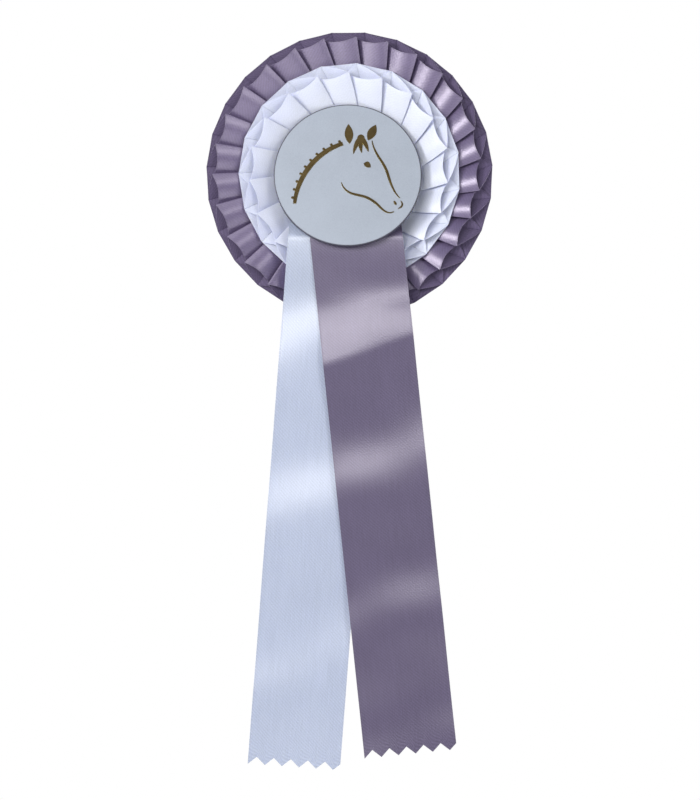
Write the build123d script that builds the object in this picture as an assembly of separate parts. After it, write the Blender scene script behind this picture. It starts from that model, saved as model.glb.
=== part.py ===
from build123d import *
import math
import os

# Show rosette: two pleated ribbon tiers on a card, two ribbon tails, a foil-printed centre disc and a
# brooch pin.  Millimetres.  Each piece is drawn face on (x right, y up, z towards the viewer, measured
# from the back of the card, at the rosette's centre) and then stood upright by STAND.

# ---- driving dimensions ----
TAIL_WIDTH = 50.0
DISC_DIAMETER = 80.0
ROSETTE_DIAMETER = 155.0
MAUVE_TAIL_LENGTH = 315.5
WHITE_TAIL_LENGTH = 323.0
CARD_THICKNESS = 1.2
RIBBON_STACK = 1.6
RIBBON = 0.6
NEEDLE_RADIUS = 0.5

# ---- cards ----
BACKING_RADIUS = 48.0
CORE_RADIUS = 46.0
CORE_BACK = CARD_THICKNESS
CORE_FRONT = CORE_BACK + CARD_THICKNESS
RAISER_RADIUS = 38.0
RAISER_FRONT = CORE_FRONT + 2.0

# ---- tiers ----
MAUVE_PLEATS = 27
WHITE_PLEATS = 19
MAUVE_RIM = ROSETTE_DIAMETER / 2
WHITE_RIM = 59.5
PLEAT_LEAN = 6.0

# ---- disc ----
DISC_THICKNESS = 1.8
DISC_TILT = 12.0
DISC_BACK = 15.8
DISC_SHIFT = (-1.0, -1.4)
FOIL = 0.35
PAD_RADIUS = 17.5

# ---- tails: where the ribbons run flat, climb over the pleats and hang ----
TAIL_TOP = 17.5
TAIL_BEND = -18.0
TAIL_FLAT = RAISER_FRONT + RIBBON_STACK
HANG_DEPTH = 17.8
TOOTH_PITCH = 9.25
TOOTH_DEPTH = 4.2
MAUVE_SWING = 6.0
WHITE_SWING = -4.4
WHITE_SHIFT = -5.4
TAIL_GAP = 0.6
LIFT_LINE = -44.0
FOLD_LINE = -52.0
HINGE_GAP = 0.5

# ---- brooch pin, behind the card and above its middle ----
PIN_HEIGHT = 14.0
BAR_LENGTH = 32.0
BAR_WIDTH = 5.0
BAR_THICKNESS = 0.8
NEEDLE_STANDOFF = 2.4
NEEDLE_DEPTH = -(BAR_THICKNESS + NEEDLE_STANDOFF)
HINGE_X = -14.0
HINGE_RADIUS = 0.6
HINGE_CLEARANCE = 0.06
EYE_RADIUS = 1.6
EYE_HALF = 0.7
EAR_GAP = 0.12
EAR_THICKNESS = 0.6
EAR_INNER = EYE_HALF + EAR_GAP
EAR_OUTER = EAR_INNER + EAR_THICKNESS
RIVET_X = 6.5
RIVET_RADIUS = 1.0
RIVET_HEAD = 1.8
RIVET_HEAD_HEIGHT = 0.4
SHANK_END = 9.6
NEEDLE_TIP = 14.2
CATCH_X = 12.0

STAND = Location((0, NEEDLE_DEPTH, -PIN_HEIGHT), (90, 0, 0))
DISC_PLACE = Pos(DISC_SHIFT[0], DISC_SHIFT[1], DISC_BACK) * Rot(-DISC_TILT, 0, 0)


def slab(radius, back, front):
    """A round plate between two depths."""
    return Pos(0, 0, back) * extrude(Circle(radius), front - back)


def block(low, high):
    """A box between two opposite corners."""
    size = [b - a for a, b in zip(low, high)]
    return Pos(*low) * Box(*size, align=(Align.MIN, Align.MIN, Align.MIN))


def around(piece, count, turn=0):
    """Copies of a piece, evenly spaced about the rosette's axis."""
    return [Rot(0, 0, turn + 360 / count * i) * piece for i in range(count)]


# ---- staples ----
def staple(width, crown, deep):
    """A flat-wire staple lying along y: crown flush with the ribbon, legs clinched flush behind the card."""
    wire, broad = 0.4, 0.7
    half = width / 2
    top = block((-broad / 2, -half, crown - wire), (broad / 2, half, crown))
    foot = width * 0.3
    for side in (-1, 1):
        low, high = sorted((side * half, side * (half - wire)))
        top += block((-broad / 2, low, deep), (broad / 2, high, crown))
        low, high = sorted((side * half, side * (half - foot)))
        top += block((-broad / 2, low, deep), (broad / 2, high, deep + wire))
    return top


# ---- pleated tiers ----
def pleated_tier(pleats, inner, bend, flap, rim, back, back_rise, front_rise):
    """A gathered ribbon: a flat stapled root, a flared body and one leaning flap for each pleat.

    back is the depth of the root's rear face; back_rise and front_rise are how far the flare's rear and
    front come forward from there between the bend and the rim.
    """
    front = back + RIBBON_STACK
    profile = Polyline(
        (inner, 0, back),
        (bend, 0, back),
        (rim, 0, back + back_rise),
        (rim, 0, back + back_rise + RIBBON),
        (flap, 0, back + front_rise),
        (bend, 0, front),
        (inner, 0, front),
        close=True,
    )
    body = revolve(make_face(profile), Axis.Z)
    body &= extrude(RegularPolygon(rim, pleats), back + front_rise + rim)
    length = math.hypot(flap - bend, front_rise - RIBBON_STACK)
    climb = math.degrees(math.atan2(front_rise - RIBBON_STACK, flap - bend))
    width = 2 * math.pi * flap / pleats
    sheet = Box(length, width, RIBBON * 2, align=(Align.MIN, Align.CENTER, Align.MIN))
    sheet = Pos(bend, 0, front - RIBBON) * Rot(0, -climb, 0) * Rot(PLEAT_LEAN, 0, 0) * sheet
    for pleat in around(sheet, pleats):
        body += pleat
    return body


def mauve_tier():
    return pleated_tier(MAUVE_PLEATS, 39.5, 45.0, 73.5, MAUVE_RIM, CORE_FRONT, 4.6, 8.6)


def white_tier():
    return pleated_tier(WHITE_PLEATS, 31.0, 37.5, 53.5, WHITE_RIM, RAISER_FRONT, 7.4, 10.6)


# ---- tails ----
def tail_profile(first, later):
    """The ribbon's side view as (y, z) points of its rear face: flat, over the pleats, then hanging."""
    return [
        (TAIL_TOP, TAIL_FLAT + first),
        (TAIL_BEND, TAIL_FLAT + first),
        (-28.0, 10.4 + later),
        (-36.0, 14.3 + later),
        (LIFT_LINE, 17.0 + later),
        (-50.0, 17.6 + later),
        (-58.0, HANG_DEPTH + later),
        (-1.1 * WHITE_TAIL_LENGTH, HANG_DEPTH + later),
    ]


def tail_outline(length):
    """The flat ribbon with its pinked end, teeth counted from the left edge."""
    left, right = -TAIL_WIDTH / 2, TAIL_WIDTH / 2
    half = TOOTH_PITCH / 2
    points = [(left, TAIL_TOP)]
    for i in range(int(TAIL_WIDTH / half) + 1):
        points.append((left + i * half, -length + (i % 2) * TOOTH_DEPTH))
    points.append((right, -length + TOOTH_DEPTH))
    points.append((right, TAIL_TOP))
    return make_face(Polyline(*points, close=True))


def tail(length, first, later, shift, swing):
    """One whole ribbon tail: the bent sheet inside its outline, swung about the rosette's centre."""
    rear = tail_profile(first, later)
    bends = [(0, y, z) for y, z in rear] + [(0, y, z + RIBBON) for y, z in reversed(rear)]
    reach = 2 * TAIL_WIDTH
    sheet = Pos(-reach, 0, 0) * extrude(make_face(Polyline(*bends, close=True)), 2 * reach, dir=(1, 0, 0))
    outline = Rot(0, 0, swing) * Pos(shift, 0, 0) * tail_outline(length)
    return sheet & extrude(outline, 2 * HANG_DEPTH, dir=(0, 0, 1))


def between(piece, low, high):
    """The part of a tail between two heights."""
    reach = 2 * WHITE_TAIL_LENGTH
    return piece & block((-reach, low, -reach), (reach, high, reach))


def white_tail():
    return tail(WHITE_TAIL_LENGTH, 0, 0, WHITE_SHIFT, WHITE_SWING)


def mauve_tail():
    return tail(MAUVE_TAIL_LENGTH, RIBBON, RIBBON + TAIL_GAP, 0, MAUVE_SWING)


# ---- centre ----
def centre_disc():
    disc = extrude(Circle(DISC_DIAMETER / 2), DISC_THICKNESS)
    disc = fillet(disc.edges().group_by(Axis.Z)[-1], 0.3)
    return DISC_PLACE * disc


def foam_pad():
    """A round pad whose front is cut to the disc's slope."""
    tall = 3 * DISC_BACK
    pad = slab(PAD_RADIUS, TAIL_FLAT + 2 * RIBBON, tall)
    return pad - DISC_PLACE * block((-tall, -tall, 0), (tall, tall, tall))


def leaf(start, bulge, end, hollow):
    """A pointed shape between two smooth curves that share their ends, facing the front."""
    face = make_face([Spline(start, bulge, end), Spline(end, hollow, start)]).face()
    return face if face.normal_at().Z > 0 else -face


def ear(tip, base, width):
    """An ear, widest a little above its base."""
    run = Vector(*tip) - Vector(*base)
    side = Vector(-run.Y, run.X).normalized() * width / 2
    middle = Vector(*base) + run * 0.42
    return leaf(base, middle + side, tip, middle - side)


def stroke_sides(line, share, start, middle, end):
    """The two edge points of a stroke, part way along, from its widths at start, middle and end."""
    belly = 2 * middle - (start + end) / 2
    wide = start * (1 - share) ** 2 + 2 * belly * share * (1 - share) + end * share**2
    along = line.tangent_at(share)
    side = Vector(-along.Y, along.X) * wide / 2
    centre = line.position_at(share)
    return centre + side, centre - side


def stroke(points, start, middle, end):
    """A brush stroke along a smooth line, blunt at its ends, facing the front."""
    line = Spline(*points)
    steps = 10
    pairs = [stroke_sides(line, i / steps, start, middle, end) for i in range(steps + 1)]
    left = [pair[0] for pair in pairs]
    right = [pair[1] for pair in pairs]
    outline = [Spline(*left), Line(left[-1], right[-1]), Spline(*right[::-1]), Line(right[0], left[0])]
    face = make_face(outline).face()
    return face if face.normal_at().Z > 0 else -face


def plaited_crest():
    """The neck's upper line, with a row of plaits standing off its outer edge."""
    points = ((-28.6, -16.4), (-24.4, -1.6), (-15.2, 10.4), (-2.6, 17.6))
    widths = (1.8, 2.8, 2.2)
    line = Spline(*points)
    crest = stroke(points, *widths)
    count = 10
    for i in range(count):
        share = (i + 0.7) / count
        root = stroke_sides(line, share, *widths)[0]
        along = line.tangent_at(share)
        lean = math.degrees(math.atan2(along.Y, along.X))
        crest += Pos(root.X, root.Y) * Rot(0, 0, lean) * RectangleRounded(1.5, 2.6, 0.6)
    return crest


def forelock():
    """Three locks that fall from between the ears."""
    crown = (7.2, 20.8)
    locks = Pos(*crown) * Circle(2.0)
    for middle, tip in (((4.6, 16.8), (3.2, 11.8)), ((7.0, 16.2), (7.6, 12.4)), ((9.8, 17.0), (11.2, 13.0))):
        locks += stroke((crown, middle, tip), 3.0, 2.4, 0.4)
    return locks


def emblem_shapes():
    """A horse's head in profile: plaited crest, ears, forelock, eye, face, muzzle and cheek."""
    return [
        plaited_crest(),
        ear((0.4, 28.8), (1.0, 17.4), 4.6),
        ear((15.4, 28.4), (11.0, 19.4), 4.6),
        forelock(),
        stroke(((13.2, 19.4), (16.0, 11.4), (20.4, 3.8), (23.0, -4.0), (28.2, -13.4)), 0.5, 1.5, 0.5),
        stroke(((28.6, -14.8), (29.4, -17.2), (27.2, -19.2)), 0.4, 1.0, 0.4),
        leaf((8.6, 6.4), (11.0, 7.4), (12.6, 4.2), (10.0, 4.2)),
        Pos(25.6, -16.0) * Rot(0, 0, -60) * Ellipse(1.3, 0.7),
        stroke(((-3.4, -4.4), (1.2, -10.2), (9.4, -12.6), (17.2, -18.0), (20.6, -21.0), (25.0, -20.8)), 0.5, 1.5, 0.5),
    ]


def horse_emblem():
    """Raised foil strokes on the disc's front."""
    strokes = [
        DISC_PLACE * Pos(0, 0, DISC_THICKNESS) * extrude(shape, FOIL, dir=(0, 0, 1)) for shape in emblem_shapes()
    ]
    joined = strokes[0]
    for stroke in strokes[1:]:
        joined += stroke
    return joined


# ---- brooch pin ----
def upright_pin(radius, x, low, high):
    """A round pin along y on the needle's hinge line, in the pin's own middle height."""
    return Pos(x, low, NEEDLE_DEPTH) * Rot(-90, 0, 0) * extrude(Circle(radius), high - low)


def pin_bar():
    """The flat bar with two hinge ears at one end and a forked catch, open to the rear, at the other."""
    half = BAR_LENGTH / 2
    bar = block((-half, -BAR_WIDTH / 2, -BAR_THICKNESS), (half, BAR_WIDTH / 2, 0))
    bar = fillet(bar.edges().filter_by(Axis.Z), BAR_WIDTH * 0.4)
    for side in (-1, 1):
        low, high = sorted((side * EAR_INNER, side * EAR_OUTER))
        bar += block((HINGE_X - EYE_RADIUS, low, NEEDLE_DEPTH), (HINGE_X + EYE_RADIUS, high, -BAR_THICKNESS))
        bar += upright_pin(EYE_RADIUS, HINGE_X, low, high)
        bar += block((CATCH_X - 1.5, low, NEEDLE_DEPTH - 1.2), (CATCH_X + 1.5, high, -BAR_THICKNESS))
    bar -= upright_pin(HINGE_RADIUS, HINGE_X, -EAR_OUTER, EAR_OUTER)
    return bar - rivet_pair(RIVET_RADIUS)


def rivet_pair(radius):
    """Two plain shanks through the bar and the backing card."""
    shank = Pos(0, 0, -BAR_THICKNESS) * extrude(Circle(radius), BAR_THICKNESS + CARD_THICKNESS)
    return Pos(-RIVET_X, 0, 0) * shank + Pos(RIVET_X, 0, 0) * shank


def bar_rivets():
    """Rivets with a low head on the bar and a flush head in the card's front."""
    rivets = rivet_pair(RIVET_RADIUS)
    for x in (-RIVET_X, RIVET_X):
        for depth in (-BAR_THICKNESS - RIVET_HEAD_HEIGHT, CARD_THICKNESS - RIVET_HEAD_HEIGHT):
            rivets += Pos(x, 0, 0) * slab(RIVET_HEAD, depth, depth + RIVET_HEAD_HEIGHT)
    return rivets


def hinge_rivet():
    """The pin that the needle turns on, headed outside both ears."""
    head = 0.35
    rivet = upright_pin(HINGE_RADIUS, HINGE_X, -EAR_OUTER - head, EAR_OUTER + head)
    for low in (-EAR_OUTER - head, EAR_OUTER):
        rivet += upright_pin(HINGE_RADIUS * 1.8, HINGE_X, low, low + head)
    return rivet


def pin_needle():
    """A wire with an eye on the hinge pin, a straight shank and a tapered point."""
    eye = upright_pin(EYE_RADIUS, HINGE_X, -EYE_HALF, EYE_HALF)
    start = HINGE_X + EYE_RADIUS * 0.7
    lying = Pos(start, 0, NEEDLE_DEPTH) * Rot(0, 90, 0)
    shank = lying * extrude(Circle(NEEDLE_RADIUS), SHANK_END - start)
    taper = NEEDLE_TIP - SHANK_END
    point = Cone(NEEDLE_RADIUS, NEEDLE_RADIUS * 0.2, taper, align=(Align.CENTER, Align.CENTER, Align.MIN))
    point = Pos(SHANK_END, 0, NEEDLE_DEPTH) * Rot(0, 90, 0) * point
    hole = upright_pin(HINGE_RADIUS + HINGE_CLEARANCE, HINGE_X, -EYE_HALF, EYE_HALF)
    return eye + shank + point - hole


# ---- assembly ----
def build():
    """Every piece by name, still face on."""
    nodes = {}
    mauve_staples = around(Pos(42.0, 0, 0) * staple(6.0, CORE_FRONT + RIBBON_STACK, CORE_BACK), 8, 22.5)
    white_staples = around(Pos(34.0, 0, 0) * staple(6.0, RAISER_FRONT + RIBBON_STACK, CORE_BACK), 6, 30)
    tail_front = TAIL_FLAT + 2 * RIBBON
    tail_staples = [
        Pos(x, -12.0, 0) * Rot(0, 0, 90) * staple(10.0, tail_front, CORE_BACK) for x in (-12.0, 8.0)
    ]
    raise_pin = Pos(0, PIN_HEIGHT, 0)

    white, mauve = white_tail(), mauve_tail()
    nodes["backing_card"] = slab(BACKING_RADIUS, 0, CARD_THICKNESS) - raise_pin * bar_rivets()
    nodes["core_card"] = slab(CORE_RADIUS, CORE_BACK, CORE_FRONT)
    nodes["mauve_tier"] = mauve_tier()
    nodes["raiser_card"] = slab(RAISER_RADIUS, CORE_FRONT, RAISER_FRONT)
    nodes["white_tier"] = white_tier()
    nodes["white_tail_root"] = between(white, LIFT_LINE + HINGE_GAP, TAIL_WIDTH)
    nodes["mauve_tail_root"] = between(mauve, LIFT_LINE + HINGE_GAP, TAIL_WIDTH)
    nodes["white_tail"] = between(white, -2 * WHITE_TAIL_LENGTH, LIFT_LINE - HINGE_GAP)
    nodes["mauve_tail_neck"] = between(mauve, FOLD_LINE + HINGE_GAP, LIFT_LINE - HINGE_GAP)
    nodes["mauve_tail"] = between(mauve, -2 * WHITE_TAIL_LENGTH, FOLD_LINE - HINGE_GAP)
    nodes["foam_pad"] = foam_pad()
    for name in ("core_card", "mauve_tier"):
        for wire in mauve_staples:
            nodes[name] -= wire
    for name in ("core_card", "raiser_card", "white_tier"):
        for wire in white_staples:
            nodes[name] -= wire
    for name in ("core_card", "raiser_card", "white_tail_root", "mauve_tail_root"):
        for wire in tail_staples:
            nodes[name] -= wire
    nodes["mauve_tier_staples"] = Compound(mauve_staples)
    nodes["white_tier_staples"] = Compound(white_staples)
    nodes["tail_staples"] = Compound(tail_staples)
    nodes["centre_disc"] = centre_disc()
    nodes["horse_emblem"] = horse_emblem()
    nodes["pin_bar"] = raise_pin * pin_bar()
    nodes["pin_bar_rivets"] = raise_pin * bar_rivets()
    nodes["pin_hinge_rivet"] = raise_pin * hinge_rivet()
    nodes["pin_needle"] = raise_pin * pin_needle()
    return nodes


os.makedirs("parts", exist_ok=True)
for name, shape in build().items():
    export_step(STAND * shape, f"parts/{name}.step")
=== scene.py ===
import collections
import math
import random

import bmesh
import bpy
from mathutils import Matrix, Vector


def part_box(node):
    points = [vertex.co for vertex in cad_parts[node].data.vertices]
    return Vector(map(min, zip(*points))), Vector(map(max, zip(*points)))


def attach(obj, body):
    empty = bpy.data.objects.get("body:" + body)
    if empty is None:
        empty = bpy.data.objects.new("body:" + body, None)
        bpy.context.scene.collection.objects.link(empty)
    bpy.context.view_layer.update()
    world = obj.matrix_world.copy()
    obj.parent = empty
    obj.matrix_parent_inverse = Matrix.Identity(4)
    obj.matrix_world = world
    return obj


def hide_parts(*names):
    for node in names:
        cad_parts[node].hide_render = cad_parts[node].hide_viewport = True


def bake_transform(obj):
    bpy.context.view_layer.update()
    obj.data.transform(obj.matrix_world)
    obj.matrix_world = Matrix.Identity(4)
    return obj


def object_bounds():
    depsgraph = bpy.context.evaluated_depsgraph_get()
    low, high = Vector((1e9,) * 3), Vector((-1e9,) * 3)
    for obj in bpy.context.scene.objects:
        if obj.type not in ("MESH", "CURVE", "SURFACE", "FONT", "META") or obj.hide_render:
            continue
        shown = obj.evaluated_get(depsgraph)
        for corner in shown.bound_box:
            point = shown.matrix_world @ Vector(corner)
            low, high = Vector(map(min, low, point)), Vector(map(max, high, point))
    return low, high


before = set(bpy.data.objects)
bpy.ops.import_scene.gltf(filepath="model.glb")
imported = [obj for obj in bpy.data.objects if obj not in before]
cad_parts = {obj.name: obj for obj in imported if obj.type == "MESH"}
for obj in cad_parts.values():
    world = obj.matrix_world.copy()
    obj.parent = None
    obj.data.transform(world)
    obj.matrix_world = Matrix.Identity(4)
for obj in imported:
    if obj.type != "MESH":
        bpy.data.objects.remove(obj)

# Looks of the show rosette.  Metres.  Shapes are drawn face on, as in the CAD: x right, y up from the
# rosette's centre, and depth towards the viewer from the back of the card.  place() turns that into the
# frame's own x, y and z.

MM = 0.001
CAD_LOW, CAD_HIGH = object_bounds()
CARD_LOW, CARD_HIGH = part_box("backing_card")
CENTRE_X = (CARD_LOW.x + CARD_HIGH.x) / 2
CENTRE_Z = (CARD_LOW.z + CARD_HIGH.z) / 2
BACK_Y = CARD_HIGH.y
CLOTH_THICKNESS = 0.25 * MM
chance = random.Random(11)


def place(x, y, depth):
    """The frame's point for a face-on point at a depth in front of the card's back."""
    return Vector((CENTRE_X + x, BACK_Y - depth, CENTRE_Z + y))


def mix(a, b, share):
    """The value at a share of the way from a to b."""
    return a + (b - a) * share


def smooth(a, b, value):
    """0 below a, 1 above b, with an even turn between them."""
    share = min(max((value - a) / (b - a), 0.0), 1.0)
    return share * share * (3 - 2 * share)


def spaced(first, last, count):
    """count values from first to last, both ends among them."""
    return [mix(first, last, i / (count - 1)) for i in range(count)]


# ---------------------------------------------------------------- mesh helpers
def new_object(name, points, faces, corners=None):
    """A smooth-shaded mesh object; corners gives each face's texture coordinates in metres."""
    mesh = bpy.data.meshes.new(name)
    mesh.from_pydata([tuple(p) for p in points], [], faces)
    if corners:
        layer = mesh.uv_layers.new(name="ribbon")
        flat = [value for face in corners for pair in face for value in pair]
        layer.data.foreach_set("uv", flat)
    mesh.shade_smooth()
    mesh.validate()
    made = bpy.data.objects.new(name, mesh)
    bpy.context.scene.collection.objects.link(made)
    return made


def cloth_grid(name, columns, lengths, across):
    """A ribbon from columns of points; lengths and across are the cloth's own coordinates."""
    rows = len(across)
    points = [p for column in columns for p in column]
    faces = []
    corners = []
    for i in range(len(lengths) - 1):
        here = (i % len(columns)) * rows
        there = ((i + 1) % len(columns)) * rows
        for j in range(rows - 1):
            faces.append((here + j, there + j, there + j + 1, here + j + 1))
            pairs = ((i, j), (i + 1, j), (i + 1, j + 1), (i, j + 1))
            corners.append([(lengths[a], across[b]) for a, b in pairs])
    made = new_object(name, points, faces, corners)
    sharpen_borders(made.data)
    solid = made.modifiers.new("cloth thickness", "SOLIDIFY")
    solid.thickness = CLOTH_THICKNESS
    solid.offset = 0
    solid.material_offset = 1
    return made


def sharpen_borders(mesh):
    """Marks the open edges sharp, so that the cut edge of the cloth doesn't round off its faces."""
    work = bmesh.new()
    work.from_mesh(mesh)
    for edge in work.edges:
        edge.smooth = not edge.is_boundary
    work.to_mesh(mesh)
    work.free()


# ---------------------------------------------------------------- node helpers
def add(tree, kind, *inputs, **settings):
    """A node with its settings and its first inputs, each a value or a socket; gives its first output."""
    made = tree.nodes.new("ShaderNode" + kind)
    for key, value in settings.items():
        setattr(made, key, value)
    for socket, value in zip(made.inputs, inputs):
        if isinstance(value, bpy.types.NodeSocket):
            tree.links.new(value, socket)
        elif value is not None:
            socket.default_value = value
    return made.outputs[0]


def own_place(tree):
    """The object's own coordinates."""
    return tree.nodes.new("ShaderNodeTexCoord").outputs["Object"]


def noise(tree, where, scale, detail=2.0):
    """Noise from 0 to 1; where is the coordinate socket, scale one number or one for each axis."""
    if not isinstance(scale, tuple):
        scale = (scale, scale, scale)
    stretched = add(tree, "VectorMath", where, scale, operation="MULTIPLY")
    return add(tree, "TexNoise", stretched, None, 1.0, detail)


def ramp(tree, factor, *stops):
    """Colours along a factor; each stop is (position, colour)."""
    made = tree.nodes.new("ShaderNodeValToRGB")
    tree.links.new(factor, made.inputs[0])
    while len(made.color_ramp.elements) < len(stops):
        made.color_ramp.elements.new(0.5)
    for element, (position, colour) in zip(made.color_ramp.elements, stops):
        element.position = position
        element.color = (*colour, 1)
    return made.outputs[0]


def scaled(colour, share):
    """A colour made darker or brighter, never above full."""
    return tuple(min(c * share, 1.0) for c in colour)


def shader(name, **values):
    """A material's tree and its Principled shader, with constant values on the shader's own sockets."""
    made = bpy.data.materials.new(name)
    made.use_nodes = True
    principled = made.node_tree.nodes["Principled BSDF"]
    for key, value in values.items():
        principled.inputs[key.replace("_", " ")].default_value = value
    return made, made.node_tree, principled


def weighted(tree, base, *terms):
    """base, a number or a socket, plus each term's socket times its weight."""
    total = base
    for socket, weight in terms:
        total = add(tree, "Math", socket, weight, total, operation="MULTIPLY_ADD")
    return total


def bump(tree, principled, height, distance):
    """Relief on a shader's surface; height counts in units of distance."""
    made = tree.nodes.new("ShaderNodeBump")
    made.inputs["Strength"].default_value = 1.0
    made.inputs["Distance"].default_value = distance
    tree.links.new(height, made.inputs["Height"])
    tree.links.new(made.outputs["Normal"], principled.inputs["Normal"])


# ---------------------------------------------------------------- materials
# MAUVE, for the tails, and the tiers' copy below it are one mauve satin: the tiers' copy is painted lighter,
# painted light standing in for highlights on the flaps, and the tails' copy painted darker, painted shade.
MAUVE = (0.098, 0.080, 0.138)
TIER_MAUVE_PAINTED_LIGHTER = (0.112, 0.086, 0.165)
MAUVE_TINT = (0.96, 0.92, 1.0)
FLAP_TINT = (0.94, 0.87, 1.0)
NO_TINT = (1.0, 1.0, 1.0)
# WHITE, for the tails, and the tiers' copy below it are one white satin: the tails' copy is painted darker as
# painted shade, and the tiers' copy painted lighter as painted light.
WHITE = (0.370, 0.41, 0.515)
TIER_WHITE_PAINTED_LIGHTER = (0.64, 0.67, 0.835)
SILVER = (0.33, 0.363, 0.418)
# A painted shadow line: the dark ring painted just inside the disc's rim.
RIM_SHADOW_DARK = (0.05, 0.05, 0.07)
RIM_SHADOW_LIGHT = (0.09, 0.09, 0.12)
# One gold foil in two painted copies: its faces painted dark as a painted reflection, and its rims painted
# bright as a painted highlight.
FOIL_FACE_PAINTED_DARK = (0.080, 0.056, 0.022)
FOIL_RIM_PAINTED_GLINT = (0.95, 0.86, 0.52)
COVER_BOARD = (0.78, 0.78, 0.75)
GREY_BOARD = (0.36, 0.34, 0.30)
FOAM_PALE = (0.80, 0.80, 0.77)
STAPLE_STEEL = (0.60, 0.60, 0.62)
NICKEL = (0.74, 0.73, 0.70)
NEEDLE_STEEL = (0.66, 0.66, 0.68)
FLOOR_DARK = (0.86, 0.86, 0.87)
FLOOR_LIGHT = (0.90, 0.90, 0.91)

# The diagonal weave's turns per metre, in radians, and the width of the woven edge.
TWILL = 2 * math.pi / (1.9 * MM)
SELVEDGE = 0.7 * MM

# directed is the anisotropy, relief the bump's height, glow the light that passes into the cloth, reverse
# the brightness of the back against the face, painted shade below one and painted light above one, and
# twill and uneven the weave's and the threads' contrast.
Weave = collections.namedtuple(
    "Weave", "colour width ior directed rough relief glow tint reverse twill uneven"
)


def satin(name, weave, shade=1.0, gloss=1.0):
    """Satin ribbon: long threads along its length, a fine diagonal weave and a woven edge."""
    made, tree, principled = shader(
        name,
        IOR=weave.ior,
        Anisotropic=weave.directed,
        Anisotropic_Rotation=0.25,
        Specular_IOR_Level=gloss,
        Specular_Tint=(*weave.tint, 1),
        Sheen_Weight=0.06,
        Sheen_Roughness=0.4,
        Subsurface_Weight=weave.glow,
        Subsurface_Scale=1 * MM,
        Subsurface_Radius=(1.0, 1.0, 1.3),
    )
    # shade scales the reverse's colour: painted shade below one, painted light above one.
    colour = scaled(weave.colour, shade)
    width = weave.width
    rough = weave.rough / gloss**0.5
    where = add(tree, "UVMap", uv_map="ribbon")
    parts = tree.nodes.new("ShaderNodeSeparateXYZ")
    tree.links.new(where, parts.inputs[0])
    # Noise cells per metre along the ribbon, across it and through it.
    threads = noise(tree, where, (70, 2400, 1))
    streaks = noise(tree, where, (9, 420, 1))
    grain = noise(tree, where, (1500, 1500, 1), 1.0)
    cloud = noise(tree, where, (30, 45, 1))

    slanted = add(tree, "Math", parts.outputs["Y"], -1.0, operation="MULTIPLY")
    slanted = add(tree, "Math", parts.outputs["X"], slanted, operation="ADD")
    twill = add(tree, "Math", slanted, TWILL, operation="MULTIPLY")
    twill = add(tree, "Math", twill, operation="SINE")
    edge_distance = add(tree, "Math", parts.outputs["Y"], width / 2, operation="SUBTRACT")
    edge_distance = add(tree, "Math", edge_distance, operation="ABSOLUTE")
    edge = add(tree, "Math", edge_distance, width / 2 - SELVEDGE, operation="GREATER_THAN")

    tone = weighted(tree, 0.0, (threads, 0.30), (streaks, 0.12), (cloud, 0.15), (grain, 0.43))
    tone = weighted(tree, tone, (twill, weave.twill), (edge, -0.06))
    darker = scaled(colour, 1 - weave.uneven)
    lighter = scaled(colour, 1 + weave.uneven)
    shades = ramp(tree, tone, (0.25, darker), (0.5, colour), (0.75, lighter))
    tree.links.new(shades, principled.inputs["Base Color"])

    dull = weighted(tree, rough - 0.10, (grain, 0.20), (edge, 0.08))
    tree.links.new(dull, principled.inputs["Roughness"])

    height = weighted(tree, threads, (twill, 0.1), (grain, 1.3), (edge, 0.6))
    bump(tree, principled, height, weave.relief)

    tangent = tree.nodes.new("ShaderNodeTangent")
    tangent.direction_type = "UV_MAP"
    tangent.uv_map = "ribbon"
    tree.links.new(tangent.outputs[0], principled.inputs["Tangent"])
    return made


def two_sided(name, weave):
    """The shiny face of a satin ribbon and its duller reverse, whose colour weave.reverse scales as painted
    shade below one and painted light above one.
    """
    return satin(name, weave), satin(name + "_reverse", weave, shade=weave.reverse, gloss=0.3)


def rim_shadow_line(tree, where, grain, printed):
    """The disc's printed colour, with a thin ring just inside its rim painted dark: painted shade, the shadow
    line round the disc.
    """
    low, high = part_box("centre_disc")
    radius = (high.x - low.x) / 2
    from_centre = tree.nodes.new("ShaderNodeVectorMath")
    from_centre.operation = "DISTANCE"
    tree.links.new(where, from_centre.inputs[0])
    from_centre.inputs[1].default_value = (low + high) / 2
    first_dark = radius - 0.65 * MM
    full_dark = radius - 0.4 * MM
    share = add(tree, "MapRange", from_centre.outputs["Value"], first_dark, full_dark)
    rim_shadowed = tree.nodes.new("ShaderNodeMix")
    rim_shadowed.data_type = "RGBA"
    tree.links.new(share, rim_shadowed.inputs["Factor"])
    tree.links.new(printed, rim_shadowed.inputs[6])
    tree.links.new(ramp(tree, grain, (0.3, RIM_SHADOW_DARK), (0.7, RIM_SHADOW_LIGHT)), rim_shadowed.inputs[7])
    return rim_shadowed.outputs[2]


def silver_card():
    """Matte silver printed card with a fine pearly grain and a painted shadow line round its rim."""
    made, tree, principled = shader("silver_card", Metallic=0.35, Specular_IOR_Level=0.4)
    where = own_place(tree)
    grain = noise(tree, where, 2600, 3.0)
    cloud = noise(tree, where, 60)
    tone = weighted(tree, grain, (cloud, 0.35))
    printed = ramp(tree, tone, (0.35, scaled(SILVER, 0.88)), (0.65, SILVER), (1.0, scaled(SILVER, 1.12)))
    tree.links.new(rim_shadow_line(tree, where, grain, printed), principled.inputs["Base Color"])
    tree.links.new(weighted(tree, 0.38, (grain, 0.2)), principled.inputs["Roughness"])
    bump(tree, principled, grain, 0.03 * MM)
    return made


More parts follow.
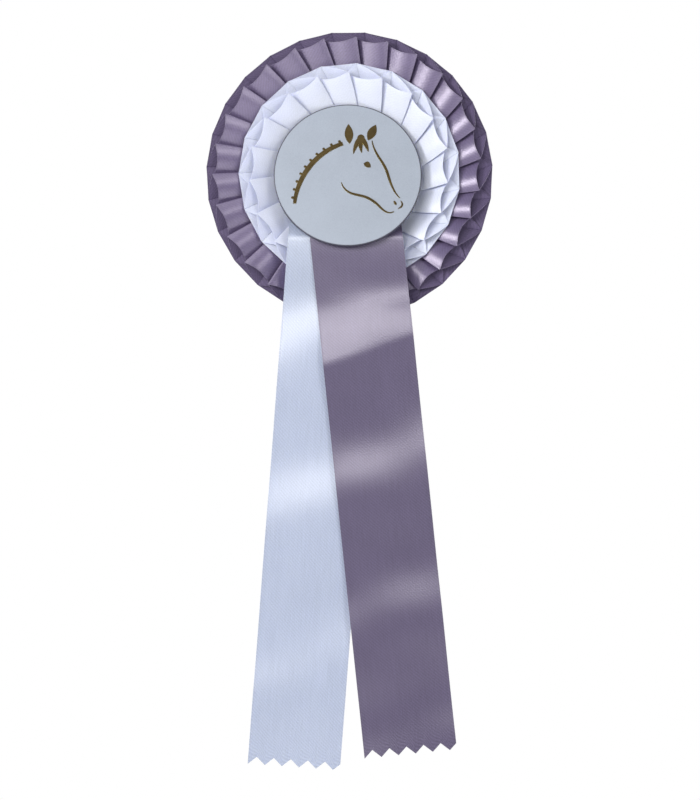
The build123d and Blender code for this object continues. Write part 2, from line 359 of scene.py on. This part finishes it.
def foil(name, colour, rough):
    """Stamped metal foil, slightly uneven in colour and polish."""
    made, tree, principled = shader(name, Metallic=0.9)
    where = own_place(tree)
    crinkle = noise(tree, where, 1400, 3.0)
    cloud = noise(tree, where, 220)
    stops = ((0.3, scaled(colour, 0.8)), (0.7, scaled(colour, 1.2)))
    tree.links.new(ramp(tree, cloud, *stops), principled.inputs["Base Color"])
    dull = weighted(tree, rough - 0.1, (crinkle, 0.2))
    tree.links.new(dull, principled.inputs["Roughness"])
    bump(tree, principled, crinkle, 0.02 * MM)
    return made


def board(name, colour, fibres):
    """Pulp board: soft fibre flecks and a faintly uneven surface."""
    made, tree, principled = shader(name, Specular_IOR_Level=0.3)
    where = own_place(tree)
    long_fibres = noise(tree, where, (1800, 1800, 500), 3.0)
    flecks = noise(tree, where, (600, 600, 2200), 2.0)
    cloud = noise(tree, where, 45)
    tone = add(tree, "Math", long_fibres, flecks, operation="MULTIPLY")
    tone = weighted(tree, tone, (cloud, 0.25))
    stops = ((0.2, scaled(colour, 1 - fibres)), (0.42, colour), (0.7, scaled(colour, 1 + fibres / 3)))
    tree.links.new(ramp(tree, tone, *stops), principled.inputs["Base Color"])
    dull = weighted(tree, 0.72, (cloud, 0.15))
    tree.links.new(dull, principled.inputs["Roughness"])
    bump(tree, principled, long_fibres, 0.05 * MM)
    return made


def foam():
    """Closed-cell foam: small round cells, off white."""
    made, tree, principled = shader("foam", Specular_IOR_Level=0.25, Subsurface_Weight=0.1)
    where = own_place(tree)
    cells = add(tree, "TexVoronoi", where, None, 1500.0)
    cloud = noise(tree, where, 160)
    stops = ((0.1, FOAM_PALE), (0.9, scaled(FOAM_PALE, 0.86)))
    tree.links.new(ramp(tree, cells, *stops), principled.inputs["Base Color"])
    dull = weighted(tree, 0.75, (cloud, 0.15))
    tree.links.new(dull, principled.inputs["Roughness"])
    bump(tree, principled, cells, 0.12 * MM)
    return made


def metal(name, colour, rough, brushed):
    """Plated or drawn steel: fine lines along x, small stains and a worn polish."""
    made, tree, principled = shader(name, Metallic=1.0)
    where = own_place(tree)
    lines = noise(tree, where, (250, 5200, 5200), 2.0)
    stains = noise(tree, where, 380, 3.0)
    stops = ((0.3, scaled(colour, 0.8)), (0.6, colour), (0.8, scaled(colour, 1.08)))
    tree.links.new(ramp(tree, stains, *stops), principled.inputs["Base Color"])
    dull = weighted(tree, rough - 0.12, (stains, 0.25), (lines, brushed))
    tree.links.new(dull, principled.inputs["Roughness"])
    bump(tree, principled, lines, 0.01 * MM)
    return made


# ---------------------------------------------------------------- pleated tiers
# A tier is one ribbon in box pleats.  A pleat is a rear facet from one meeting line to the next, a left
# return up to a hidden crease, the front flap clockwise over it to its crease, and a right return under
# the flap to the meeting line.  Along a pleat u counts pitches clockwise from the previous crease.
MEETING = 0.3
MEETING_GAP = 0.018
HIDDEN_CREASE = -0.1
PEAK = 0.78
LOW_START = 0.2
RIM_PROUD = 0.8 * MM

# Steps of a fold's half turn, of a crease's, and columns of the left return, flap, right return and rear.
FOLD_STEPS = 4
CREASE_STEPS = 6
LEFT_COLUMNS = 5
FLAP_COLUMNS = 17
RIGHT_COLUMNS = 10
REAR_COLUMNS = 7

# The place round the ring where corner_more acts most, and the range of the pleats' seeded changes.
CORNER_AT = math.radians(108)
SIZE_CHANGE = 0.07
SWAY = 0.035

# A column of points: u along the pleat, lift as a share of the pleat's height, gap and fold as counts of
# the layers' gap and the crease's radius forward, side_gap and side_fold the same sideways.  free is its
# share of the flap's sway and inset, dip of the flap's hollow rim, and chord of a flat facet's rim.
Column = collections.namedtuple(
    "Column", "u lift gap fold side_gap side_fold free dip chord", defaults=(0,) * 8
)
# rear is the depth of the rear facets, bend the radius from which they flare forward, and the two heights
# are a pleat's at root and rim.  lean is the pleats' turn away from the radius, lean_more its change round
# the ring.  corner is how far a flap's rim lies inside the tier's, and dip how much further its middle does.
Tier = collections.namedtuple(
    "Tier",
    "pleats first root bend rim corner_radius rear flare root_height rim_height"
    " lean lean_more lean_at corner corner_more dip",
)


def half_turn(steps):
    """The angles of a fold's half turn, without its two ends."""
    return [math.pi * i / steps for i in range(1, steps)]


def pleat_columns():
    """The columns of points across one pleat, in order along the ribbon."""
    top = math.sin(math.pi / 2 / PEAK)
    made = []
    left = MEETING - MEETING_GAP
    right = MEETING + MEETING_GAP
    for a in half_turn(FOLD_STEPS):
        made.append(Column(left, gap=(1 - math.cos(a)) / 2, side_gap=math.sin(a) / 2))
    for x in spaced(0, 1, LEFT_COLUMNS):
        made.append(Column(mix(left, HIDDEN_CREASE, x), lift=LOW_START * x, gap=1, free=x))
    for a in half_turn(FOLD_STEPS):
        rise = (3 - math.cos(a)) / 2
        made.append(Column(HIDDEN_CREASE, lift=LOW_START, gap=rise, side_gap=-math.sin(a) / 2, free=1))
    for x in spaced(0, 1, FLAP_COLUMNS):
        rise = math.sin(math.pi / 2 * x / PEAK)
        u = mix(HIDDEN_CREASE, 1, x)
        height = mix(LOW_START, 1, rise)
        made.append(Column(u, lift=height, gap=2 * (1 - rise), free=1, dip=math.sin(math.pi * x)))
    lift = mix(LOW_START, 1, top)
    gap = 2 * (1 - top)
    for a in half_turn(CREASE_STEPS):
        made.append(Column(1, lift=lift, gap=gap, fold=math.cos(a) - 1, side_fold=math.sin(a), free=1))
    for x in spaced(1, 0, RIGHT_COLUMNS):
        made.append(Column(mix(right, 1, x), lift=lift * x, gap=mix(1, gap, x), fold=-2 * x, free=x))
    for a in half_turn(FOLD_STEPS):
        made.append(Column(right, gap=(1 + math.cos(a)) / 2, side_gap=-math.sin(a) / 2))
    for x in spaced(0, 1, REAR_COLUMNS):
        made.append(Column(mix(right, 1 + left, x), chord=1 - (2 * x - 1) ** 2))
    return made


def pressed(angle):
    """How much of a pleat's height is left where the tails press on it, round the lowest point."""
    away = abs(angle % (2 * math.pi) - math.pi)
    return mix(0.5, 1, smooth(math.radians(22), math.radians(42), away))


def tier_point(tier, angle, column, v, size):
    """One point of a tier; v runs from the stapled root, 0, to the rim, 1."""
    half = math.pi / tier.pleats
    corner = tier.corner + tier.corner_more * max(0, math.cos(angle - CORNER_AT)) ** 3
    rim = tier.rim * (1 - column.chord * (1 - math.cos(half)))
    rim -= column.free * corner * size + column.dip * tier.dip
    radius = mix(tier.root, rim, v)
    lean = tier.lean + tier.lean_more * math.cos(angle - tier.lean_at)
    gap = mix(0.25, 0.45, v) * MM
    fold = mix(0.12, 0.3, v) * MM
    height = mix(tier.root_height, tier.rim_height, v) * pressed(angle) * size
    side = column.side_gap * gap + column.side_fold * fold
    turned = angle - math.tan(lean) * math.log(radius / tier.corner_radius) + side / radius
    base = tier.rear + tier.flare * max(0, (radius - tier.bend) / (tier.rim - tier.bend))
    depth = base + column.lift * height + column.gap * gap + column.fold * fold
    return place(radius * math.sin(turned), radius * math.cos(turned), depth)


def tier_ribbon(name, tier, width, rows):
    """The whole ribbon of a tier, as one closed run of pleats."""
    pitch = 2 * math.pi / tier.pleats
    across = spaced(0, 1, rows)
    columns = []
    for i in range(tier.pleats):
        size = chance.uniform(1 - SIZE_CHANGE, 1 + SIZE_CHANGE)
        sway = chance.uniform(-SWAY, SWAY)
        for column in pleat_columns():
            angle = tier.first + pitch * (i + column.u + sway * column.free)
            columns.append([tier_point(tier, angle, column, v, size) for v in across])
    middle = rows // 2
    lengths = [0.0]
    for here, there in zip(columns, columns[1:] + columns[:1]):
        lengths.append(lengths[-1] + (there[middle] - here[middle]).length)
    made = cloth_grid(name, columns, lengths, [v * width for v in across])
    # The rear facets take the reverse's darker, duller look as painted shade under the flaps, although a real
    # box pleat shows its satin face there.
    in_shade = [int(column.lift == 0) for column in pleat_columns()] * tier.pleats
    sides = [side for side in in_shade for row in range(rows - 1)]
    made.data.polygons.foreach_set("material_index", sides)
    return made, lengths[-1]


def build_tiers():
    """The rear tier of mauve ribbon and the front tier of white ribbon."""
    low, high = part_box("mauve_tier")
    tier = Tier(
        pleats=27,
        first=math.radians(2.9),
        root=39.5 * MM,
        bend=45 * MM,
        rim=high.x - CENTRE_X + RIM_PROUD,
        corner_radius=73.5 * MM,
        rear=BACK_Y - high.y,
        flare=3.4 * MM,
        root_height=1.5 * MM,
        rim_height=8.4 * MM,
        lean=math.radians(10),
        lean_more=math.radians(6),
        lean_at=math.radians(60),
        corner=3.7 * MM,
        corner_more=4.2 * MM,
        dip=2.5 * MM,
    )
    width = 38 * MM
    ribbon, length = tier_ribbon("mauve_tier_ribbon", tier, width, 13)
    # Its reverse=0.85 paints the pleats' insides and rear facets darker, as painted shade.
    weave = Weave(
        colour=TIER_MAUVE_PAINTED_LIGHTER, width=width, ior=1.75, directed=0.65, rough=0.42, relief=0.06 * MM,
        glow=0, tint=FLAP_TINT, reverse=0.85, twill=0.06, uneven=0.40,
    )
    mauve = two_sided("mauve_tier_satin", weave)
    finish_cloth(ribbon, mauve, "mauve_satin", (width, length), "gathered", ["core_card"], "mauve_tier")
    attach(ribbon, "root")

    low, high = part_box("white_tier")
    tier = tier._replace(
        pleats=19,
        first=math.radians(0.2),
        root=31 * MM,
        bend=37.5 * MM,
        rim=high.x - CENTRE_X + RIM_PROUD,
        corner_radius=53.5 * MM,
        rear=BACK_Y - high.y,
        flare=7.4 * MM,
        rim_height=7.4 * MM,
        lean=math.radians(15),
        lean_more=math.radians(8),
        lean_at=math.radians(70),
        corner=5.6 * MM,
        corner_more=1.0 * MM,
        dip=2.8 * MM,
    )
    width = 30 * MM
    ribbon, length = tier_ribbon("white_tier_ribbon", tier, width, 11)
    weave = Weave(
        colour=TIER_WHITE_PAINTED_LIGHTER, width=width, ior=1.4, directed=0.5, rough=0.50, relief=0.010 * MM,
        glow=0.5, tint=NO_TINT, reverse=0.95, twill=0.03, uneven=0.12,
    )
    white = two_sided("white_tier_satin", weave)
    finish_cloth(ribbon, white, "white_satin", (width, length), "gathered", ["raiser_card"], "white_tier")
    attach(ribbon, "root")


def finish_cloth(ribbon, look, slot, flat, held, rests_on, *nodes):
    """Materials of face and reverse, and the CAD nodes that a ribbon stands for, which are hidden; slot and
    the flat size are not used.
    """
    for side in look:
        ribbon.data.materials.append(side)
    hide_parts(*nodes)


# ---------------------------------------------------------------- tails
TAIL_WIDTH = 50 * MM
TAIL_TOP = 17.5 * MM
TOOTH_PITCH = 9.25 * MM
TOOTH_DEPTH = 4.2 * MM
PINKED_REACH = 14 * MM
MAUVE_SWING = math.radians(6.0)
WHITE_SWING = math.radians(-4.4)
WHITE_SHIFT = -5.4 * MM
MAUVE_LENGTH = 315.5 * MM
WHITE_LENGTH = 323 * MM
LIFT_LINE = -44 * MM
FOLD_LINE = -52 * MM
SPLIT_LINE = (LIFT_LINE + FOLD_LINE) / 2
HANG_DEPTH = 17.8 * MM
FLAT_DEPTH = 6.0 * MM
CLEARANCE = 0.7 * MM

# The tails' waves: length, height, the y where one starts, and its slant across the ribbon.
WHITE_WAVE = 94 * MM
WHITE_WAVE_HEIGHT = 1.5 * MM
WHITE_WAVE_START = -72 * MM
WHITE_SLANT = 0.42
WHITE_RIPPLE = 57 * MM
MAUVE_WAVE = 75 * MM
MAUVE_WAVE_TOP = 1.6 * MM
MAUVE_WAVE_LOW = 1.42 * MM
MAUVE_WAVE_START = -79 * MM
MAUVE_SLANT = 0.34
MAUVE_RIPPLE = 51 * MM
RIPPLE_HEIGHT = 0.2 * MM
CREST_Y = -96.5 * MM
CREST_HEIGHT = 1.4 * MM
CREST_REACH = 10 * MM
CREST_ROUNDING = 2 * MM


def climb(y):
    """Depth of the rear ribbon's middle surface: up over the pleats, a little down again, then hanging."""
    over = smooth(-14 * MM, -36 * MM, y)
    hump = over * (1 - smooth(-37 * MM, -66 * MM, y))
    return mix(FLAT_DEPTH, HANG_DEPTH, over) + 0.3 * MM + 1.4 * MM * hump


def long_wave(along, length):
    """A wave a little steeper at its rising zero than a plain sine."""
    angle = 2 * math.pi * along / length
    return math.sin(angle) + 0.1 * math.sin(2 * angle)


def white_depth(x, y):
    """Depth of the white tail, with the long soft waves of a ribbon that has been rolled up."""
    free = smooth(-50 * MM, -80 * MM, y)
    aside = x * math.cos(WHITE_SWING) + y * math.sin(WHITE_SWING)
    wave = long_wave(y - WHITE_WAVE_START - WHITE_SLANT * aside, WHITE_WAVE)
    ripple = math.sin(2 * math.pi * (y + 10 * MM + 0.5 * x) / WHITE_RIPPLE)
    return climb(y) - free * (WHITE_WAVE_HEIGHT * wave + RIPPLE_HEIGHT * ripple)


def mauve_depth(x, y):
    """Depth of the mauve tail: its own waves, kept in front of the white one."""
    free = smooth(-46 * MM, -76 * MM, y)
    tall = mix(MAUVE_WAVE_TOP, MAUVE_WAVE_LOW, smooth(-100 * MM, -150 * MM, y))
    aside = x * math.cos(MAUVE_SWING) + y * math.sin(MAUVE_SWING)
    wave = long_wave(y - MAUVE_WAVE_START - MAUVE_SLANT * aside, MAUVE_WAVE)
    ripple = math.sin(2 * math.pi * (y + 0.6 * x) / MAUVE_RIPPLE)
    from_crest = math.hypot(y - CREST_Y - MAUVE_SLANT * aside, CREST_ROUNDING)
    crest = CREST_HEIGHT * math.exp(-from_crest / CREST_REACH)
    apart = mix(0.6, 2.6, free) * MM
    own = climb(y) + apart - free * (tall * wave + RIPPLE_HEIGHT * ripple) + crest
    least = white_depth(x, y) + CLEARANCE
    over = own - least
    return least + (over + math.sqrt(over * over + (0.5 * MM) ** 2)) / 2


def swung(x, y, swing):
    """A point turned about the rosette's centre."""
    return (
        x * math.cos(swing) - y * math.sin(swing),
        x * math.sin(swing) + y * math.cos(swing),
    )


def tooth(x):
    """How far the pinked end stands back from its tips, at a distance from the ribbon's left edge."""
    share = (x / TOOTH_PITCH) % 1
    return TOOTH_DEPTH * (1 - abs(2 * share - 1))


def tail_columns():
    """Distances from the left edge: one at every tip and notch, and even steps between them."""
    step = TOOTH_PITCH / 8
    count = int(TAIL_WIDTH / step)
    return [step * i for i in range(count + 1)] + [TAIL_WIDTH]


def split_y(x, swing, line):
    """Where along the straight ribbon, at x, a level line of the hung one lies."""
    return (line - x * math.sin(swing)) / math.cos(swing)


def tail_ribbon(name, depth, swing, shift, top, bottom, pinked, rows):
    """A tail between two ends; top and bottom give y on the straight ribbon for a place across it."""
    across = [x - TAIL_WIDTH / 2 for x in tail_columns()]
    lines = []
    for share in spaced(0, 1, rows):
        line = []
        for x in across:
            along = mix(top(x), bottom(x), share)
            near_end = max(0, 1 - (along - bottom(x)) / PINKED_REACH)
            along += pinked * near_end * tooth(x + TAIL_WIDTH / 2)
            point = swung(x + shift, along, swing)
            line.append(place(*point, depth(*point)))
        lines.append(line)
    middle = len(across) // 2
    lengths = [0.0]
    for here, there in zip(lines, lines[1:]):
        lengths.append(lengths[-1] + (there[middle] - here[middle]).length)
    return cloth_grid(name, lines, lengths, [x + TAIL_WIDTH / 2 for x in across]), lengths[-1]


def bend(tail):
    """Bakes a tail's placement into its points."""
    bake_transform(tail)


def build_tails():
    """The white tail in one sheet and the mauve tail in two, split midway between its lift and fold lines."""
    weave = Weave(
        colour=MAUVE, width=TAIL_WIDTH, ior=1.57, directed=0.8, rough=0.37, relief=0.045 * MM,
        glow=0, tint=MAUVE_TINT, reverse=0.9, twill=0.10, uneven=0.32,
    )
    mauve = two_sided("mauve_tail_satin", weave)
    # The white tail's back is painted 1.35 times lighter than its face: painted light for its dimly lit back.
    weave = Weave(
        colour=WHITE, width=TAIL_WIDTH, ior=1.55, directed=0.8, rough=0.39, relief=0.035 * MM,
        glow=0.2, tint=NO_TINT, reverse=1.35, twill=0.09, uneven=0.20,
    )
    white = two_sided("white_tail_satin", weave)

    def start(x):
        return TAIL_TOP

    def white_end(x):
        return -WHITE_LENGTH

    def mauve_end(x):
        return -MAUVE_LENGTH

    def mauve_split(x):
        return split_y(x, MAUVE_SWING, SPLIT_LINE)

    tail, length = tail_ribbon(
        "white_tail_cloth", white_depth, WHITE_SWING, WHITE_SHIFT, start, white_end, pinked=1, rows=240
    )
    flat = (TAIL_WIDTH, length)
    below = ["white_tier_ribbon"]
    finish_cloth(tail, white, "white_satin", flat, "hung", below, "white_tail_root", "white_tail")
    bend(tail)

    tail, length = tail_ribbon(
        "mauve_tail_top", mauve_depth, MAUVE_SWING, 0, start, mauve_split, pinked=0, rows=60
    )
    flat = (TAIL_WIDTH, length)
    below = ["white_tail_cloth"]
    finish_cloth(tail, mauve, "mauve_satin", flat, "hung", below, "mauve_tail_root", "mauve_tail_neck")
    bend(tail)

    tail, length = tail_ribbon(
        "mauve_tail_cloth", mauve_depth, MAUVE_SWING, 0, mauve_split, mauve_end, pinked=1, rows=200
    )
    flat = (TAIL_WIDTH, length)
    finish_cloth(tail, mauve, "mauve_satin", flat, "hung", below, "mauve_tail")
    bend(tail)


# ---------------------------------------------------------------- centre
def welded_copy(name, node):
    """A copy of a CAD node's mesh with its split corners joined."""
    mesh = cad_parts[node].data.copy()
    mesh.name = name
    mesh.materials.clear()
    work = bmesh.new()
    work.from_mesh(mesh)
    bmesh.ops.remove_doubles(work, verts=work.verts, dist=0.001 * MM)
    bmesh.ops.dissolve_limit(
        work, angle_limit=math.radians(1), verts=work.verts, edges=work.edges, delimit={"NORMAL"}
    )
    work.to_mesh(mesh)
    work.free()
    made = bpy.data.objects.new(name, mesh)
    bpy.context.scene.collection.objects.link(made)
    return made


def build_emblem():
    """The foil strokes with rounded edges: one foil in two painted copies, dark on their faces as a painted
    reflection of the dim studio and bright round their rims as a painted highlight.
    """
    emblem = welded_copy("horse_emblem_foil", "horse_emblem")
    front = disc_front_normal()
    work = bmesh.new()
    work.from_mesh(emblem.data)
    rim = [e for e in work.edges if len(e.link_faces) == 2 and e.calc_face_angle() > math.radians(60)]
    rim = [e for e in rim if max(f.normal.dot(front) for f in e.link_faces) > 0.95]
    bmesh.ops.bevel(work, geom=rim, offset=0.24 * MM, segments=2, affect="EDGES", clamp_overlap=False)
    # Faces turned to the front take the painted dark copy; bevels and sides take the painted highlight copy.
    for face in work.faces:
        face.material_index = 0 if face.normal.dot(front) > 0.97 else 1
        face.smooth = False
    work.to_mesh(emblem.data)
    work.free()
    emblem.data.materials.append(foil("gold_foil", FOIL_FACE_PAINTED_DARK, rough=0.5))
    emblem.data.materials.append(foil("foil_rim_painted_glint", FOIL_RIM_PAINTED_GLINT, rough=0.35))
    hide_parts("horse_emblem")
    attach(emblem, "root")


def disc_front_normal():
    """The direction that the tilted disc faces, from the largest flat face of its pad."""
    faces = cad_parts["foam_pad"].data.polygons
    return max(faces, key=lambda face: (face.normal.y < -0.9, face.area)).normal.copy()


def build_foam():
    """The foam wedge behind the disc, swelling a little between its glued faces."""
    low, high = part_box("foam_pad")
    normal = disc_front_normal()
    radius = (high.x - low.x) / 2
    centre = (low + high) / 2
    reach = (high.z - low.z) / 2
    lowest = Vector((centre.x, low.y, centre.z - reach))
    around = 64
    rows = 9
    bulge = 0.035
    points = []
    for j in range(rows):
        share = j / (rows - 1)
        wide = radius * (1 - bulge + bulge * math.sin(math.pi * share))
        for i in range(around):
            angle = 2 * math.pi * i / around
            x = centre.x + wide * math.cos(angle)
            z = centre.z + wide * math.sin(angle)
            front = lowest.y - (normal.z * (z - lowest.z)) / normal.y
            points.append(Vector((x, mix(high.y, front, share), z)))
    faces = []
    for j in range(rows - 1):
        for i in range(around):
            right = (i + 1) % around
            faces.append((j * around + i, (j + 1) * around + i, (j + 1) * around + right, j * around + right))
    faces.append(tuple(range(around)))
    faces.append(tuple((rows - 1) * around + i for i in reversed(range(around))))
    pad = new_object("foam_wedge", points, faces)
    pad.data.materials.append(foam())
    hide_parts("foam_pad")
    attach(pad, "root")


def dress(look, *nodes):
    """Gives CAD nodes their own material."""
    for name in nodes:
        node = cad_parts[name]
        node.data.materials.clear()
        node.data.materials.append(look)


# ---------------------------------------------------------------- studio
def area_light(name, aim, azimuth, elevation, distance, size, power):
    """A soft square lamp; azimuth is to the right of the viewer's own side, elevation above level."""
    data = bpy.data.lights.new(name, "AREA")
    data.shape = "SQUARE"
    data.size = size
    data.energy = power
    lamp = bpy.data.objects.new(name, data)
    a = math.radians(azimuth)
    e = math.radians(elevation)
    back = Vector((math.sin(a) * math.cos(e), -math.cos(a) * math.cos(e), math.sin(e)))
    lamp.location = aim + back * distance
    lamp.rotation_euler = back.to_track_quat("Z", "Y").to_euler()
    bpy.context.scene.collection.objects.link(lamp)


def build_floor():
    """A pale round floor well below the ribbon, fading out at its edge."""
    drop = 0.85
    reach = 3.2
    bpy.ops.mesh.primitive_circle_add(vertices=96, radius=reach, fill_type="NGON")
    floor = bpy.context.object
    floor.name = "floor"
    floor.location = (CENTRE_X, 0, CAD_LOW.z - drop)
    made, tree, principled = shader("floor", Roughness=0.8, Specular_IOR_Level=0.1, Emission_Strength=0.3)
    where = own_place(tree)
    grain = noise(tree, where, 40.0)
    stops = ((0.3, FLOOR_DARK), (0.7, FLOOR_LIGHT))
    tree.links.new(ramp(tree, grain, *stops), principled.inputs["Base Color"])
    away = tree.nodes.new("ShaderNodeVectorMath")
    away.operation = "LENGTH"
    tree.links.new(where, away.inputs[0])
    fade = tree.nodes.new("ShaderNodeMapRange")
    fade.interpolation_type = "SMOOTHSTEP"
    tree.links.new(away.outputs["Value"], fade.inputs["Value"])
    fade.inputs["From Min"].default_value = reach
    fade.inputs["From Max"].default_value = reach * 0.5
    tree.links.new(fade.outputs[0], principled.inputs["Alpha"])
    floor.data.materials.append(made)


def build_world():
    """White to the camera and a dimmer, slightly cool light on the object."""
    world = bpy.data.worlds.new("studio")
    bpy.context.scene.world = world
    world.use_nodes = True
    tree = world.node_tree
    tree.nodes.clear()
    out = tree.nodes.new("ShaderNodeOutputWorld")
    seen = tree.nodes.new("ShaderNodeBackground")
    seen.inputs["Color"].default_value = (1, 1, 1, 1)
    lighting = tree.nodes.new("ShaderNodeBackground")
    lighting.inputs["Color"].default_value = (0.90, 0.94, 1.0, 1)
    lighting.inputs["Strength"].default_value = 0.25
    path = tree.nodes.new("ShaderNodeLightPath")
    both = tree.nodes.new("ShaderNodeMixShader")
    tree.links.new(path.outputs["Is Camera Ray"], both.inputs[0])
    tree.links.new(lighting.outputs[0], both.inputs[1])
    tree.links.new(seen.outputs[0], both.inputs[2])
    tree.links.new(both.outputs[0], out.inputs[0])


def build_camera(aim):
    """Level with the object's middle, straight on, with a small margin above and below."""
    distance = 1.12
    margin = 1.08
    frame_height = (CAD_HIGH.z - CAD_LOW.z) * margin
    data = bpy.data.cameras.new("camera")
    data.sensor_width = 36
    data.lens = data.sensor_width * distance / frame_height
    camera = bpy.data.objects.new("camera", data)
    camera.location = (aim.x, BACK_Y - HANG_DEPTH - distance, aim.z)
    camera.rotation_euler = (math.radians(90), 0, 0)
    bpy.context.scene.collection.objects.link(camera)
    bpy.context.scene.camera = camera


def build_studio():
    """Floor, background, camera and lamps; the colours are shown as they are, without a film curve."""
    aim = (CAD_LOW + CAD_HIGH) / 2
    build_floor()
    build_world()
    build_camera(aim)
    near = 1.5
    far = 1.8
    area_light("key", aim, azimuth=-18, elevation=21, distance=near, size=0.46, power=7.5)
    area_light("left", aim, azimuth=-44, elevation=15, distance=near, size=0.44, power=15)
    area_light("right", aim, azimuth=34, elevation=16, distance=near, size=0.48, power=5)
    area_light("low", aim, azimuth=40, elevation=-34, distance=near, size=0.6, power=2)
    area_light("side", aim, azimuth=100, elevation=15, distance=far, size=1.0, power=22)
    area_light("far side", aim, azimuth=-110, elevation=15, distance=far, size=1.0, power=16)
    area_light("back", aim, azimuth=160, elevation=25, distance=far, size=1.0, power=16)
    bpy.context.scene.view_settings.view_transform = "Standard"


build_tiers()
build_tails()
build_foam()
build_emblem()
dress(silver_card(), "centre_disc")
dress(board("backing_card", COVER_BOARD, fibres=0.10), "backing_card")
dress(board("core_card", GREY_BOARD, fibres=0.25), "core_card", "raiser_card")
wire = metal("staple_wire", STAPLE_STEEL, rough=0.36, brushed=0.1)
dress(wire, "mauve_tier_staples", "white_tier_staples", "tail_staples")
plate = metal("nickel_plate", NICKEL, rough=0.24, brushed=0.05)
dress(plate, "pin_bar", "pin_bar_rivets", "pin_hinge_rivet")
dress(metal("needle_steel", NEEDLE_STEEL, rough=0.26, brushed=0.12), "pin_needle")
build_studio()
